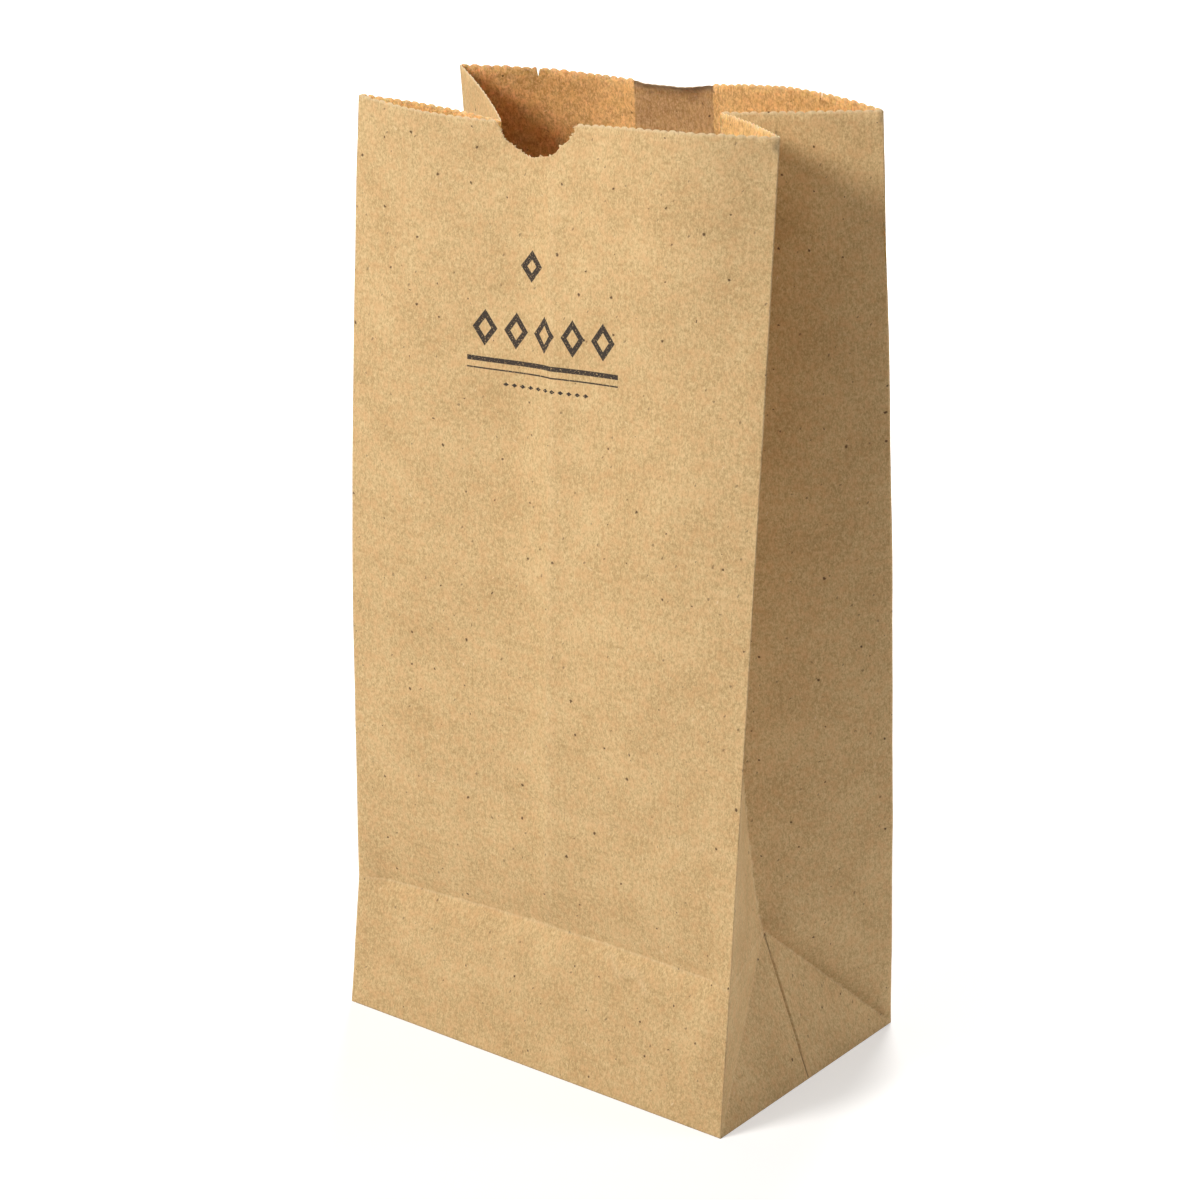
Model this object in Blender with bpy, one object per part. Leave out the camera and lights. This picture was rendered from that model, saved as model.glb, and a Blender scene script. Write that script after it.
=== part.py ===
# Brown paper lunch bag, standing open: one sheet of kraft paper folded and glued into a flat-bottomed bag.
# Each panel is laid out flat first, with v or u across it and t up it, in metres of paper. It is then
# folded into place, and the finished skin is given the thickness of the paper.
# Frame: the base is a rectangle on z = 0 centred on the origin, the front panel faces -Y, +Z is up.

import math

import bmesh
import bpy
import numpy as np
from mathutils import Vector, geometry

MM = 0.001
LEFT, RIGHT = -1, 1

# The flat bag
BAG_WIDTH = 155.6 * MM
BAG_DEPTH = 100.0 * MM
BAG_HEIGHT = 315.0 * MM
PAPER_THICKNESS = 0.15 * MM
SEAM_OVERLAP = 33.0 * MM
SEAM_OFFSET = 3.4 * MM

# The cut mouth: teeth left by the knife, and the thumb notch in the front panel
TOOTH_PITCH = 3.2 * MM
TOOTH_DEPTH = 0.75 * MM
TOOTH_CREST_SHARE = 0.36
NOTCH_WIDTH = 32.0 * MM
NOTCH_DEPTH = 11.4 * MM
NOTCH_OFFSET = -8.7 * MM
NOTCH_TOOTH_DEPTH = 0.8 * MM

# The folded base: its two long flaps lap over each other at the middle, over the two short ones
FLAP_OVERLAP = 22.0 * MM
PLIES_IN_BASE = 3
PLY_STEP_WIDTH = 0.6 * MM
BASE_EDGE_MARGIN = 2.0 * MM

# Height of the fold across the front panel at its two ends, and of the point where the side folds meet
FRONT_FOLD_HEIGHT = {LEFT: 46.4 * MM, RIGHT: 50.8 * MM}
SIDE_POINT_HEIGHT = 49.0 * MM
SIDE_POINT_INSET = 19.2 * MM
SIDE_POINT_DROP = 1.0 * MM

# The line that the flat bag's gusset leaves below that point: how deep, and its half width as a share
SIDE_PINCH = 0.6 * MM
SIDE_PINCH_SHARE = 0.25

# How far each corner has moved from straight above its foot: x to the right, y to the back, z up
FRONT_FOLD_SHIFT = {LEFT: (1.5 * MM, 3.9 * MM, -0.2 * MM), RIGHT: (0.3 * MM, 3.2 * MM, -0.1 * MM)}
FRONT_MOUTH_SHIFT = {LEFT: (-5.9 * MM, 21.1 * MM, -4.2 * MM), RIGHT: (-9.2 * MM, 34.8 * MM, -0.2 * MM)}
BACK_MOUTH_SHIFT = {LEFT: (2.1 * MM, -38.5 * MM, 0.1 * MM), RIGHT: (-5.7 * MM, -14.9 * MM, 0.2 * MM)}
GUSSET_MOUTH_SAG = {LEFT: 6.3 * MM, RIGHT: 2.7 * MM}
FRONT_EDGE_BOW = {LEFT: (-1.6 * MM, -1.5 * MM), RIGHT: (0.2 * MM, 0.0 * MM)}
BACK_EDGE_BOW = {LEFT: (-1.4 * MM, 0.8 * MM), RIGHT: (1.4 * MM, 0.8 * MM)}

# How far the panels stand out between their corners: one, two and three waves across the panel
CREST_FULLNESS = 1.4
FRONT_MOUTH_CREST = 4.0 * MM
FRONT_MOUTH_WAVES = (0.0 * MM, -3.7 * MM, 3.2 * MM)
FRONT_MOUTH_DIP = 2.7 * MM
FRONT_MOUTH_TILT = 1.9 * MM
FRONT_FOLD_HOLLOW = 3.6 * MM
BACK_MOUTH_WAVES = (12.9 * MM, -6.1 * MM, 0.9 * MM)
BACK_MOUTH_RISES = (-0.2 * MM, 2.4 * MM, 1.1 * MM)
GUSSET_BELLY = 1.2 * MM

# Spacing of the points that the panels are built on, how near the mouth it is halved, and how far the
# inner ones keep from a panel's outline and lines, as shares of the spacing
GRID = 15.0 * MM
FINE_BAND = 36.0 * MM
OUTLINE_CLEARANCE = 0.45
LINE_CLEARANCE = 0.15
WELD = 0.005 * MM

# Faces that lean less than this share from each other count as one when the paper is given thickness,
# and a face whose normal's height is under this counts as the underside of the base
SAME_PLANE = 0.12
FACING_DOWN = -0.9
TINY = 1e-9

UP = Vector((0.0, 0.0, 1.0))


def foot(side, back):
    """Corner of the base rectangle."""
    return Vector((side * BAG_WIDTH / 2, BAG_DEPTH / 2 if back else -BAG_DEPTH / 2, 0.0))


def waves(amounts, a):
    return sum(amount * math.sin((k + 1) * math.pi * a) for k, amount in enumerate(amounts))


def crest(a):
    """1 at the middle of a panel, where it was creased flat, and 0 at its edges."""
    return 1 - abs(2 * a - 1) ** CREST_FULLNESS


def outward(start, end):
    """Level direction out of a panel whose corners run from start to end, anticlockwise from above."""
    across = end - start
    return Vector((across.y, -across.x, 0.0)).normalized()


# Where the corners of the sheet stand

def front_fold_end(side):
    return foot(side, False) + UP * FRONT_FOLD_HEIGHT[side] + Vector(FRONT_FOLD_SHIFT[side])


def front_mouth_end(side):
    return foot(side, False) + UP * BAG_HEIGHT + Vector(FRONT_MOUTH_SHIFT[side])


def back_mouth_end(side):
    return foot(side, True) + UP * BAG_HEIGHT + Vector(BACK_MOUTH_SHIFT[side])


def side_point(side):
    """Where the folds of one side meet, pushed into the bag."""
    x = side * (BAG_WIDTH / 2 - SIDE_POINT_INSET)
    return Vector((x, 0.0, SIDE_POINT_HEIGHT - SIDE_POINT_DROP))


def gusset_mouth(side):
    """Inner end of the gusset's fold at the mouth: half a depth of paper away from both its corners."""
    front, back = front_mouth_end(side), back_mouth_end(side)
    middle = (front + back) / 2
    half_gap = (back - front).length / 2
    reach = math.sqrt(max((BAG_DEPTH / 2) ** 2 - half_gap**2, 0.0))
    inward = outward(front, back) * -side
    return middle + inward * reach - UP * GUSSET_MOUTH_SAG[side]


# The panels, each a function of its flat place

def front_point(u, t):
    a = u / BAG_WIDTH
    fold_height = FRONT_FOLD_HEIGHT[LEFT] * (1 - a) + FRONT_FOLD_HEIGHT[RIGHT] * a
    bottom = foot(LEFT, False).lerp(foot(RIGHT, False), a)
    fold = front_fold_end(LEFT).lerp(front_fold_end(RIGHT), a)
    fold -= outward(front_fold_end(LEFT), front_fold_end(RIGHT)) * FRONT_FOLD_HOLLOW * crest(a)
    if t <= fold_height:
        return bottom.lerp(fold, t / fold_height)
    left, right = front_mouth_end(LEFT), front_mouth_end(RIGHT)
    mouth = left.lerp(right, a)
    mouth += outward(left, right) * (FRONT_MOUTH_CREST * crest(a) + waves(FRONT_MOUTH_WAVES, a))
    mouth -= UP * (FRONT_MOUTH_DIP * crest(a) + FRONT_MOUTH_TILT * math.sin(2 * math.pi * a))
    rise = (t - fold_height) / (BAG_HEIGHT - fold_height)
    bow = Vector(FRONT_EDGE_BOW[LEFT]).lerp(Vector(FRONT_EDGE_BOW[RIGHT]), a).to_3d()
    return fold.lerp(mouth, rise) + bow * math.sin(math.pi * rise)


def back_point(u, t):
    """u runs from the right corner to the left one, so that the outside of the panel faces the reader."""
    a = u / BAG_WIDTH
    right, left = back_mouth_end(RIGHT), back_mouth_end(LEFT)
    mouth = right.lerp(left, a) + outward(right, left) * waves(BACK_MOUTH_WAVES, a)
    mouth += UP * waves(BACK_MOUTH_RISES, a)
    rise = t / BAG_HEIGHT
    bow = Vector(BACK_EDGE_BOW[RIGHT]).lerp(Vector(BACK_EDGE_BOW[LEFT]), a).to_3d()
    flat = foot(RIGHT, True).lerp(foot(LEFT, True), a).lerp(mouth, rise) + bow * math.sin(math.pi * rise)
    return flat + outward(right, left) * seam_lift(u) * min(t / PLY_STEP_WIDTH, 1.0)


def back_edge(side, t):
    return back_point(0.0 if side == RIGHT else BAG_WIDTH, t)


def lower_side_point(side, v, t):
    """The triangle over the base edge, with the line that the flat bag's gusset left pinched into it."""
    half = 1 - t / SIDE_POINT_HEIGHT
    base = foot(side, False).lerp(foot(side, True), 0.5 + (v - BAG_DEPTH / 2) / (BAG_DEPTH * max(half, TINY)))
    flat = side_point(side).lerp(base, half) if half > TINY else side_point(side)
    from_line = abs(v - BAG_DEPTH / 2) / (BAG_DEPTH / 2 * max(half, TINY))
    pinch = SIDE_PINCH * math.sin(math.pi * max(half, 0.0)) * max(1 - from_line / SIDE_PINCH_SHARE, 0.0)
    return flat - Vector((side * pinch, 0.0, 0.0))


def front_corner_point(side, v, t):
    """The small triangle between the front edge, the side point and the front fold."""
    along = v / (BAG_DEPTH / 2)
    low = SIDE_POINT_HEIGHT * along
    high = FRONT_FOLD_HEIGHT[side] * (1 - along) + low
    up = (t - low) / (high - low) if high - low > TINY else 0.0
    ridge = foot(side, False).lerp(side_point(side), along)
    return ridge.lerp(front_fold_end(side).lerp(side_point(side), along), up)


def front_gusset_point(side, v, t):
    along = v / (BAG_DEPTH / 2)
    low = FRONT_FOLD_HEIGHT[side] * (1 - along) + SIDE_POINT_HEIGHT * along
    rise = (t - low) / (BAG_HEIGHT - low)
    bottom = front_fold_end(side).lerp(side_point(side), along)
    corner, inner = front_mouth_end(side), gusset_mouth(side)
    belly = outward(corner, inner) * side * GUSSET_BELLY * math.sin(math.pi * along)
    bow = Vector(FRONT_EDGE_BOW[side]).to_3d() * (1 - along) * math.sin(math.pi * rise)
    return bottom.lerp(corner.lerp(inner, along) + belly, rise) + bow


def gusset_fold(side, t):
    """The ridge from the back corner of the base to the side point, and the gusset's fold above it."""
    if t <= SIDE_POINT_HEIGHT:
        return foot(side, True).lerp(side_point(side), t / SIDE_POINT_HEIGHT)
    rise = (t - SIDE_POINT_HEIGHT) / (BAG_HEIGHT - SIDE_POINT_HEIGHT)
    return side_point(side).lerp(gusset_mouth(side), rise)


def back_gusset_point(side, v, t):
    start = BAG_DEPTH - BAG_DEPTH / 2 * min(t / SIDE_POINT_HEIGHT, 1.0)
    along = (v - start) / (BAG_DEPTH - start) if BAG_DEPTH - start > TINY else 0.0
    inner, corner = gusset_fold(side, t), back_edge(side, t)
    belly = outward(inner, corner) * side if (corner - inner).length > 1e-6 else Vector((0.0, 0.0, 0.0))
    rise = t / BAG_HEIGHT
    return inner.lerp(corner, along) + belly * GUSSET_BELLY * math.sin(math.pi * along) * rise


# The lap seam up the middle of the back panel

def seam_lift(u):
    """The outer ply climbs over the inner one and ends in a step."""
    across = (u - BAG_WIDTH / 2 - SEAM_OFFSET) / SEAM_OVERLAP + 0.5
    return PAPER_THICKNESS * across if 0.0 < across < 1.0 - 1e-6 else 0.0


def seam_plies(u):
    within = abs(u - BAG_WIDTH / 2 - SEAM_OFFSET) < SEAM_OVERLAP / 2 - PLY_STEP_WIDTH / 2
    return 2 if within else 1


def seam_lines():
    middle = BAG_WIDTH / 2 + SEAM_OFFSET
    near, far = middle - SEAM_OVERLAP / 2, middle + SEAM_OVERLAP / 2
    return near, near + PLY_STEP_WIDTH, far - PLY_STEP_WIDTH, far


# Flat outlines

def divided(start, end, spacing=GRID):
    """Points from start up to but not including end, evenly spaced."""
    start, end = Vector(start), Vector(end)
    count = max(round((end - start).length / spacing), 1)
    return [start.lerp(end, k / count) for k in range(count)]


def upright(u, low, high):
    """Points up a panel's edge from low up to but not including high, closer together near the mouth."""
    bend = BAG_HEIGHT - FINE_BAND
    if high <= bend:
        return divided((u, low), (u, high))
    return divided((u, low), (u, bend)) + divided((u, bend), (u, high), GRID / 2)


def toothed(start, end):
    """Teeth along the mouth from u = start up to but not including u = end, each with a blunt crest."""
    count = max(round(abs(end - start) / TOOTH_PITCH), 1)
    pitch = (end - start) / count
    valley, top = BAG_HEIGHT - TOOTH_DEPTH, BAG_HEIGHT
    points = []
    for k in range(count):
        at = start + k * pitch
        rise, fall = (at + (1 + way * TOOTH_CREST_SHARE) / 2 * pitch for way in (-1, 1))
        points += [Vector((at, valley)), Vector((rise, top)), Vector((fall, top))]
    return points


def notch(middle):
    """The thumb notch from its right end to its left one: half an ellipse torn into small teeth."""
    points = []
    teeth = max(round(math.pi * (NOTCH_WIDTH / 2 + NOTCH_DEPTH) / 2 / TOOTH_PITCH), 3) * 2
    for k in range(1, teeth):
        angle = math.pi * k / teeth
        grow = 1 - (NOTCH_TOOTH_DEPTH / NOTCH_DEPTH if k % 2 else 0.0)
        across = NOTCH_WIDTH / 2 * math.cos(angle) * grow
        down = (NOTCH_DEPTH - TOOTH_DEPTH) * math.sin(angle) * grow
        points.append(Vector((middle + across, BAG_HEIGHT - TOOTH_DEPTH - down)))
    return points


def mouth_valley(u):
    return Vector((u, BAG_HEIGHT - TOOTH_DEPTH))


# Panels as flat outlines: each gives its outline, its inner lines, and the function that folds it

def front_panels():
    left, right = FRONT_FOLD_HEIGHT[LEFT], FRONT_FOLD_HEIGHT[RIGHT]
    fold = divided((0.0, left), (BAG_WIDTH, right))
    strip = divided((0.0, 0.0), (BAG_WIDTH, 0.0)) + divided((BAG_WIDTH, 0.0), (BAG_WIDTH, right))
    strip += divided((BAG_WIDTH, right), (0.0, left)) + divided((0.0, left), (0.0, 0.0))
    middle = BAG_WIDTH / 2 + NOTCH_OFFSET
    main = fold + upright(BAG_WIDTH, right, BAG_HEIGHT - TOOTH_DEPTH)
    main += toothed(BAG_WIDTH, middle + NOTCH_WIDTH / 2) + [mouth_valley(middle + NOTCH_WIDTH / 2)]
    main += notch(middle) + toothed(middle - NOTCH_WIDTH / 2, 0.0)
    main += reversed_upright(0.0, left)
    crease = [(Vector((BAG_WIDTH / 2, (left + right) / 2)), Vector((BAG_WIDTH / 2, BAG_HEIGHT - FINE_BAND)))]
    return [(strip, [], front_point), (main, crease, front_point)]


def reversed_upright(u, low):
    """The same points as upright gives, from the mouth's edge down to but not including low."""
    points = upright(u, low, BAG_HEIGHT - TOOTH_DEPTH) + [mouth_valley(u)]
    return points[:0:-1]


def back_foot():
    """Points along the foot of the back panel, with one on each line of the seam."""
    stops = [0.0, *seam_lines(), BAG_WIDTH]
    points = []
    for start, end in zip(stops, stops[1:]):
        points += divided((start, 0.0), (end, 0.0))
    return points


def back_panel():
    stops = [BAG_WIDTH, *reversed(seam_lines()), 0.0]
    top = []
    for start, end in zip(stops, stops[1:]):
        wide = abs(end - start) > TOOTH_PITCH / 2
        top += toothed(start, end) if wide else [mouth_valley(start)]
    outline = back_foot() + upright(BAG_WIDTH, 0.0, BAG_HEIGHT - TOOTH_DEPTH) + top + reversed_upright(0.0, 0.0)
    lines = [(Vector((u, 0.0)), mouth_valley(u)) for u in seam_lines()]
    return [(outline, lines, back_point)]


def side_panels(side):
    depth, half, rise = BAG_DEPTH, BAG_DEPTH / 2, SIDE_POINT_HEIGHT
    point, fold = (half, rise), (0.0, FRONT_FOLD_HEIGHT[side])
    top = BAG_HEIGHT - TOOTH_DEPTH
    lower = divided((0.0, 0.0), (half, 0.0)) + divided((half, 0.0), (depth, 0.0))
    lower += divided((depth, 0.0), point) + divided(point, (0.0, 0.0))
    corner = divided((0.0, 0.0), point) + divided(point, fold) + divided(fold, (0.0, 0.0))
    front = divided(fold, point) + upright(half, rise, top) + toothed(half, 0.0) + reversed_upright(0.0, fold[1])
    back = divided(point, (depth, 0.0)) + upright(depth, 0.0, top) + toothed(depth, half)
    back += reversed_upright(half, rise)
    line = [(Vector((half, 0.0)), Vector(point))]
    return [
        (lower, line, lambda v, t: lower_side_point(side, v, t)),
        (corner, [], lambda v, t: front_corner_point(side, v, t)),
        (front, [], lambda v, t: front_gusset_point(side, v, t)),
        (back, [], lambda v, t: back_gusset_point(side, v, t)),
    ]


# The base, seen from below: plies of paper that step down to the outermost flap

def inside_flap(x, y, sign):
    """Whether a place of the base lies on a long flap; sign -1 is hinged at the front and +1 at the back."""
    from_free_edge = y * sign + FLAP_OVERLAP / 2
    from_slanted_end = (BAG_WIDTH - BAG_DEPTH) / 2 - abs(x) + y * sign
    return min(from_free_edge, from_slanted_end) > -1e-7


def ply_level(x, y):
    """How far the underside lies above the ground: nothing at the outer flap and along the base edges."""
    from_edge = min(BAG_WIDTH / 2 - abs(x), BAG_DEPTH / 2 - abs(y))
    if from_edge < 1e-7 or inside_flap(x, y, -1):
        return 0.0
    return PAPER_THICKNESS * (1 if inside_flap(x, y, 1) else 2)


def base_point(x, down):
    """The base is laid out as seen from below, so its second place runs from back to front."""
    return Vector((x, -down, ply_level(x, -down)))


def ply_lines():
    """The edges of the flaps, each a pair of lines with the step between them, and the rounded base edge."""
    x, y = BAG_WIDTH / 2 - BASE_EDGE_MARGIN, BAG_DEPTH / 2 - BASE_EDGE_MARGIN
    middle, lap = (BAG_WIDTH - BAG_DEPTH) / 2, FLAP_OVERLAP / 2
    step = PLY_STEP_WIDTH * math.sqrt(2)
    under = (middle + step / 2, step / 2)
    chains = [[(-x, y), (x, y)], [(lap - middle, lap), (middle - lap, lap)]]
    free = middle - lap + step - PLY_STEP_WIDTH
    chains.append([(-free, lap + PLY_STEP_WIDTH), (free, lap + PLY_STEP_WIDTH)])
    for sign in (-1, 1):
        ends = [
            [(x, -y), (middle - lap, lap)],
            [(x, step - y), (middle + step, 0.0), under, (free, lap + PLY_STEP_WIDTH)],
            [(x, y), under],
            [(x, y - step), (middle + step, 0.0)],
            [(x, -y), (x, step - y), (x, y - step), (x, y)],
        ]
        chains += [[(sign * px, py) for px, py in end] for end in ends]
    return [
        (Vector((start[0], -start[1])), Vector((end[0], -end[1])))
        for chain in chains
        for start, end in zip(chain, chain[1:])
    ]


def base_panel():
    x, y = BAG_WIDTH / 2, BAG_DEPTH / 2
    back = [Vector((x - point.x, -y)) for point in back_foot() + [Vector((BAG_WIDTH, 0.0))]]
    front = [Vector((x - point.x, y)) for point in divided((0.0, 0.0), (BAG_WIDTH, 0.0))]
    right = divided((x, -y), (x, 0.0)) + divided((x, 0.0), (x, y))
    left = divided((-x, y), (-x, 0.0)) + divided((-x, 0.0), (-x, -y))
    return [(back[::-1][:-1] + right + front + left, ply_lines(), base_point)]


# Building the skin and giving it thickness

def inner_points(outline):
    """Grid points well inside a flat outline."""
    low = Vector((min(p.x for p in outline), min(p.y for p in outline)))
    high = Vector((max(p.x for p in outline), max(p.y for p in outline)))
    loop = list(zip(outline, outline[1:] + outline[:1]))
    points = []
    t = low.y
    row = 0
    while t < high.y:
        step = GRID / 2 if t > BAG_HEIGHT - FINE_BAND else GRID
        t += step
        row += 1
        columns = max(round((high.x - low.x) / step), 1)
        for k in range(columns + 1):
            at = Vector((low.x + (k + 0.5 * (row % 2)) * (high.x - low.x) / columns, t))
            if inside(at, loop) and distance(at, loop) > OUTLINE_CLEARANCE * step:
                points.append(at)
    return points


def inside(at, loop):
    crossings = 0
    for a, b in loop:
        if (a.y > at.y) != (b.y > at.y):
            crossings += at.x < a.x + (at.y - a.y) / (b.y - a.y) * (b.x - a.x)
    return crossings % 2 == 1


def distance(at, loop):
    nearest = 1.0
    for a, b in loop:
        along = b - a
        part = min(max((at - a).dot(along) / along.length_squared, 0.0), 1.0)
        nearest = min(nearest, (a + along * part - at).length)
    return nearest


def add_panel(skin, panel, plies_of, flipped=False):
    """Cuts one flat panel into triangles, folds it and adds it to the skin."""
    outline, lines, folded = panel
    flat = [point.to_2d() for point in outline]
    edges = []
    for start, end in lines:
        chain = divided(start, end) + [Vector(end)]
        edges += [(len(flat) + k, len(flat) + k + 1) for k in range(len(chain) - 1)]
        flat += [point.to_2d() for point in chain]
    around = [(start, end) for start, end in zip(outline, outline[1:] + outline[:1])]
    away = around + [(Vector(start), Vector(end)) for start, end in lines]
    flat += [point for point in inner_points(outline) if distance(point, away) > LINE_CLEARANCE * GRID]
    places, _, triangles, *_ = geometry.delaunay_2d_cdt(flat, edges, [list(range(len(outline)))], 1, 1e-7)
    corners = []
    for place in places:
        vertex = skin.verts.new(folded(place.x, place.y))
        vertex[skin.verts.layers.int["plies"]] = plies_of(place.x, place.y)
        corners.append(vertex)
    for triangle in triangles:
        order = reversed(triangle) if flipped else triangle
        skin.faces.new([corners[k] for k in order])


def offset_inward(vertex, plies):
    """Where the inside of the paper lies: one thickness behind every face that meets at the point."""
    normals, depths = [], []
    for face in vertex.link_faces:
        from_below = face.normal.z < FACING_DOWN
        depth = PAPER_THICKNESS * plies
        if from_below:
            depth = PLIES_IN_BASE * PAPER_THICKNESS - vertex.co.z
        normals.append(-(Vector((0.0, 0.0, -1.0)) if from_below else face.normal))
        depths.append(depth)
    shift = np.linalg.lstsq(np.array(normals), np.array(depths), rcond=SAME_PLANE)[0]
    return vertex.co + Vector(shift)


def thicken(skin):
    """Adds the inner side of the paper and the cut edge round the mouth."""
    layer = skin.verts.layers.int["plies"]
    skin.normal_update()
    outer_faces = list(skin.faces)
    rim = [edge for edge in skin.edges if edge.is_boundary]
    inner = {}
    for vertex in list(skin.verts):
        inner[vertex] = skin.verts.new(offset_inward(vertex, vertex[layer]))
    for face in outer_faces:
        skin.faces.new([inner[vertex] for vertex in reversed(face.verts)])
    for edge in rim:
        loop = edge.link_loops[0]
        start, end = loop.vert, loop.link_loop_next.vert
        skin.faces.new([end, start, inner[start], inner[end]])


def kraft_paper():
    material = bpy.data.materials.new("kraft_paper")
    material.use_nodes = True
    shader = material.node_tree.nodes["Principled BSDF"]
    shader.inputs["Base Color"].default_value = (0.56, 0.39, 0.21, 1.0)
    shader.inputs["Roughness"].default_value = 0.85
    shader.inputs["Metallic"].default_value = 0.0
    return material


def paper_bag():
    skin = bmesh.new()
    skin.verts.layers.int.new("plies")
    for panel in front_panels():
        add_panel(skin, panel, lambda u, t: 1)
    for panel in back_panel():
        add_panel(skin, panel, lambda u, t: seam_plies(u))
    for side in (LEFT, RIGHT):
        for panel in side_panels(side):
            add_panel(skin, panel, lambda v, t: 1, flipped=side == LEFT)
    for panel in base_panel():
        add_panel(skin, panel, lambda x, y: 1)
    bmesh.ops.remove_doubles(skin, verts=skin.verts, dist=WELD)
    thicken(skin)
    mesh = bpy.data.meshes.new("paper_bag")
    skin.to_mesh(mesh)
    skin.free()
    mesh.materials.append(kraft_paper())
    bag = bpy.data.objects.new("paper_bag", mesh)
    bpy.context.scene.collection.objects.link(bag)
    return bag


for thing in list(bpy.data.objects):
    bpy.data.objects.remove(thing, do_unlink=True)
bag = paper_bag()
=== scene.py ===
# Brown paper lunch bag standing open, dressed for a product picture.
# The sheet is laid out flat, panel by panel, in metres of paper, then folded up and given its thickness.
import math
import random

import bmesh
import bpy
import numpy as np
from mathutils import Matrix, Vector, geometry, noise


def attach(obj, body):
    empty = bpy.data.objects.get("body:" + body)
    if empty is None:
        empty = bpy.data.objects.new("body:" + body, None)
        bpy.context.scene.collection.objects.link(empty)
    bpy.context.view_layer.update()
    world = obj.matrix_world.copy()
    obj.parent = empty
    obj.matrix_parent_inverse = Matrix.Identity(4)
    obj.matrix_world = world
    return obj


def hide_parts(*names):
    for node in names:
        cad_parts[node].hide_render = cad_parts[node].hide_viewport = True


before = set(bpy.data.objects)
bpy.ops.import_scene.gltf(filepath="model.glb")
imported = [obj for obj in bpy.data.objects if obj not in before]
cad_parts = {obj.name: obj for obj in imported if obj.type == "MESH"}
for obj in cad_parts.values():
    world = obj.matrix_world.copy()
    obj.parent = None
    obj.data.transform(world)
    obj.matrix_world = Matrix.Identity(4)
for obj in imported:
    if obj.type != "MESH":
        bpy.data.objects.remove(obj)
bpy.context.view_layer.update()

mm = 0.001
left, right = -1, 1
up = Vector((0.0, 0.0, 1.0))
rng = random.Random(41)

# The flat bag, and how far the corners of its folds and its mouth lie from where a straight bag would have
# them. The values are those of the part's source, apart from the bellies of the gussets
bagSheet = {
    "width": 155.6 * mm,
    "depth": 100.0 * mm,
    "height": 315.0 * mm,
    "thickness": 0.15 * mm,
    "seamOverlap": 33.0 * mm,
    "seamOffset": 3.4 * mm,
    "frontFoldHeight": {left: 46.4 * mm, right: 50.8 * mm},
    "frontFoldShift": {left: (1.5 * mm, 3.9 * mm, -0.2 * mm), right: (0.3 * mm, 3.2 * mm, -0.1 * mm)},
    "frontFoldHollow": 3.6 * mm,
    "sidePointHeight": 49.0 * mm,
    "sidePointInset": 19.2 * mm,
    "sidePointDrop": 1.0 * mm,
    "frontMouthShift": {left: (-5.9 * mm, 21.1 * mm, -4.2 * mm), right: (-9.2 * mm, 34.8 * mm, -0.2 * mm)},
    "backMouthShift": {left: (2.1 * mm, -38.5 * mm, 0.1 * mm), right: (-5.7 * mm, -14.9 * mm, 0.2 * mm)},
    "gussetMouthSag": {left: 6.3 * mm, right: 2.7 * mm},
    "frontEdgeBow": {left: (-1.6 * mm, -1.5 * mm), right: (0.2 * mm, 0.0)},
    "backEdgeBow": {left: (-1.4 * mm, 0.8 * mm), right: (1.4 * mm, 0.8 * mm)},
    "crestFullness": 1.4,
    "frontMouthCrest": 4.0 * mm,
    "frontMouthWaves": (0.0, -3.7 * mm, 3.2 * mm),
    "frontMouthDip": 2.7 * mm,
    "frontMouthTilt": 1.9 * mm,
    "backMouthWaves": (12.9 * mm, -6.1 * mm, 0.9 * mm),
    "backMouthRises": (-0.2 * mm, 2.4 * mm, 1.1 * mm),
    "gussetBelly": {left: -1.2 * mm, right: 1.2 * mm},
    "frontGussetBelly": {left: 2.0 * mm, right: 1.2 * mm},
    "frontGussetArch": {left: 0.4 * mm, right: 0.0},
    "gussetTuck": 5.6 * mm,
    "gussetTuckRise": 0.6,
}

# How finely the sheet is laid out, and the rows beside each fold that keep the fold crisp. Points nearer to
# an edge or a line than their share of the spacing are left out
meshing = {
    "spacing": 2.6 * mm,
    "foldRow": 0.55 * mm,
    "baseSpacing": 5.2 * mm,
    "plyStep": 0.6 * mm,
    "weld": 0.004 * mm,
    "rowShare": 0.87,
    "clearShare": 0.5,
    "foldRowClearShare": 0.6,
    # a face that looks down more steeply than this belongs to the base
    "downward": -0.9,
    # normals nearer to each other than this share count as one where the sheet gets its thickness
    "sameNormal": 0.12,
}

# The knife's teeth round the mouth and the torn edge of the thumb notch
cutEdge = {
    "pitch": 3.0 * mm,
    "depth": 0.66 * mm,
    "crestShare": 0.36,
    "pitchJitter": 0.12,
    "depthJitter": 0.35,
    # a tooth's shoulders: how far up its rising and falling flanks, and their share of its height
    "shoulders": (0.55, 0.45, 0.62),
    "notchWidth": 32.0 * mm,
    "notchDepth": 11.4 * mm,
    "notchOffset": -8.7 * mm,
    "notchTeeth": 72,
    "notchBowl": (1.11, 1.43),
    "notchJitter": 0.3,
    "notchRagged": 1.2 * mm,
    "notchEvenShare": 0.2,
    "notchSwell": 0.3 * mm,
    "notchSwellTurns": (9.0, 1.0),
    # small tears down from the cut edges: place across the panel, width, depth
    "backTears": ((132.0 * mm, 1.0 * mm, 3.0 * mm), (22.2 * mm, 0.3 * mm, 2.2 * mm)),
    "frontTears": ((125.3 * mm, 0.3 * mm, 2.4 * mm),),
    "seamDepth": 0.16 * mm,
}

# How far edges and lines of the sheet are rubbed pale
lineWear = {"fold": 1.0, "mouth": 0.0, "seam": 0.2, "ply": 0.15}

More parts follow.
